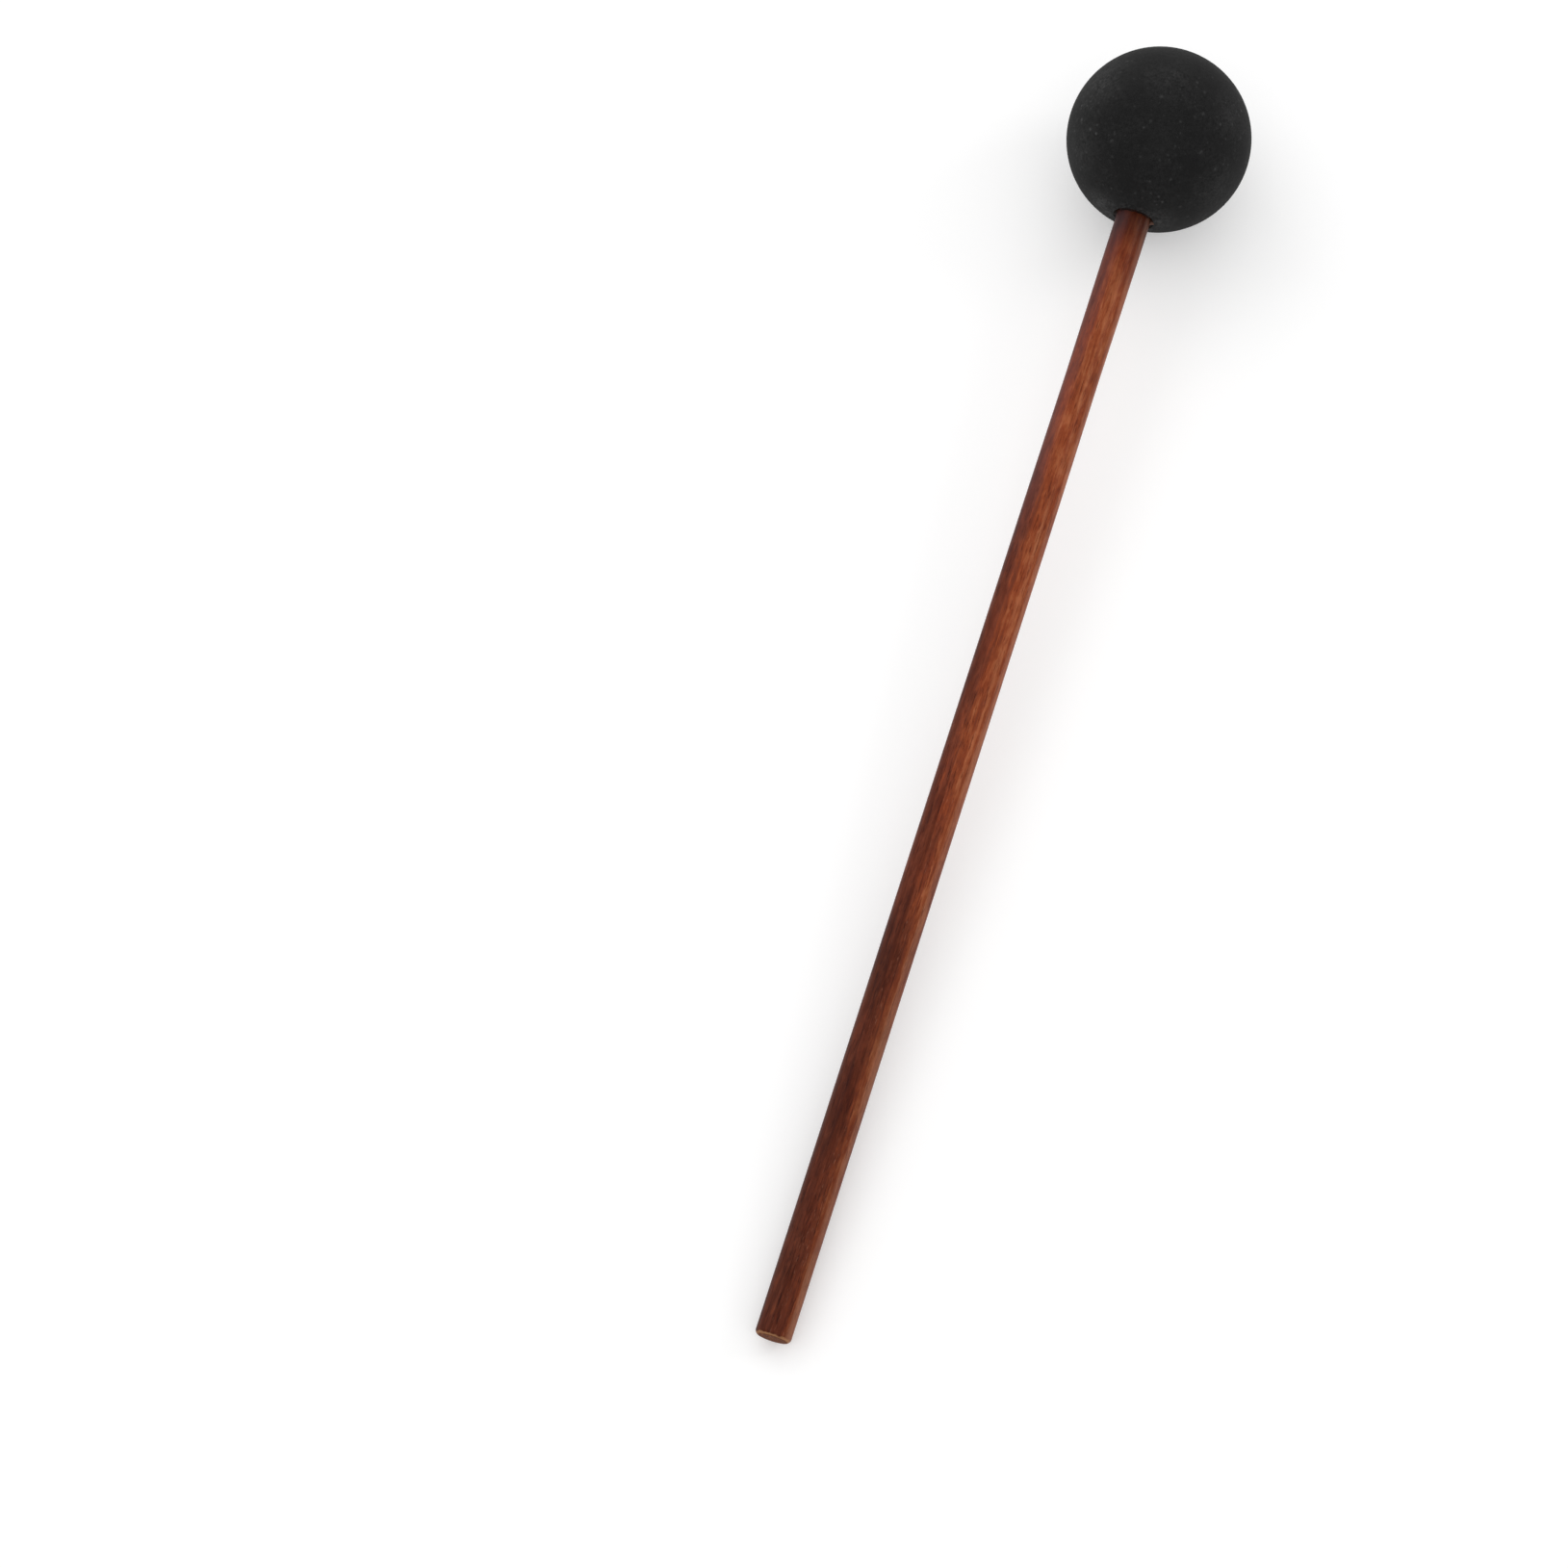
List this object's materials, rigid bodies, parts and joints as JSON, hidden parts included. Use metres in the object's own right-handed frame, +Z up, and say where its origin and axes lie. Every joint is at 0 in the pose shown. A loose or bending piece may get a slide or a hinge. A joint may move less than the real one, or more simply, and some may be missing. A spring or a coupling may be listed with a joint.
{
  "type": "gong mallet",
  "caption": "Friction and tapping mallet for gongs: a solid rubber ball glued on the end of a slim, straight, lacquered wooden stick.",
  "frame": {"origin": "on the surface that the mallet lies on, under the middle of its bounding box", "axes": "+X runs lengthwise from the butt of the stick to the ball, +Z is up as the mallet lies on a table"},
  "size_m": [0.2358, 0.032, 0.032],
  "materials": {
    "rubber": "matt",
    "lacquered_wood": "satin lacquer",
    "cured_glue": "semi-gloss"
  },
  "bodies": {
    "root": {"rubber_head": "rubber", "wooden_stick": "lacquered_wood", "glue_joint": "cured_glue"}
  },
  "joints": []
}
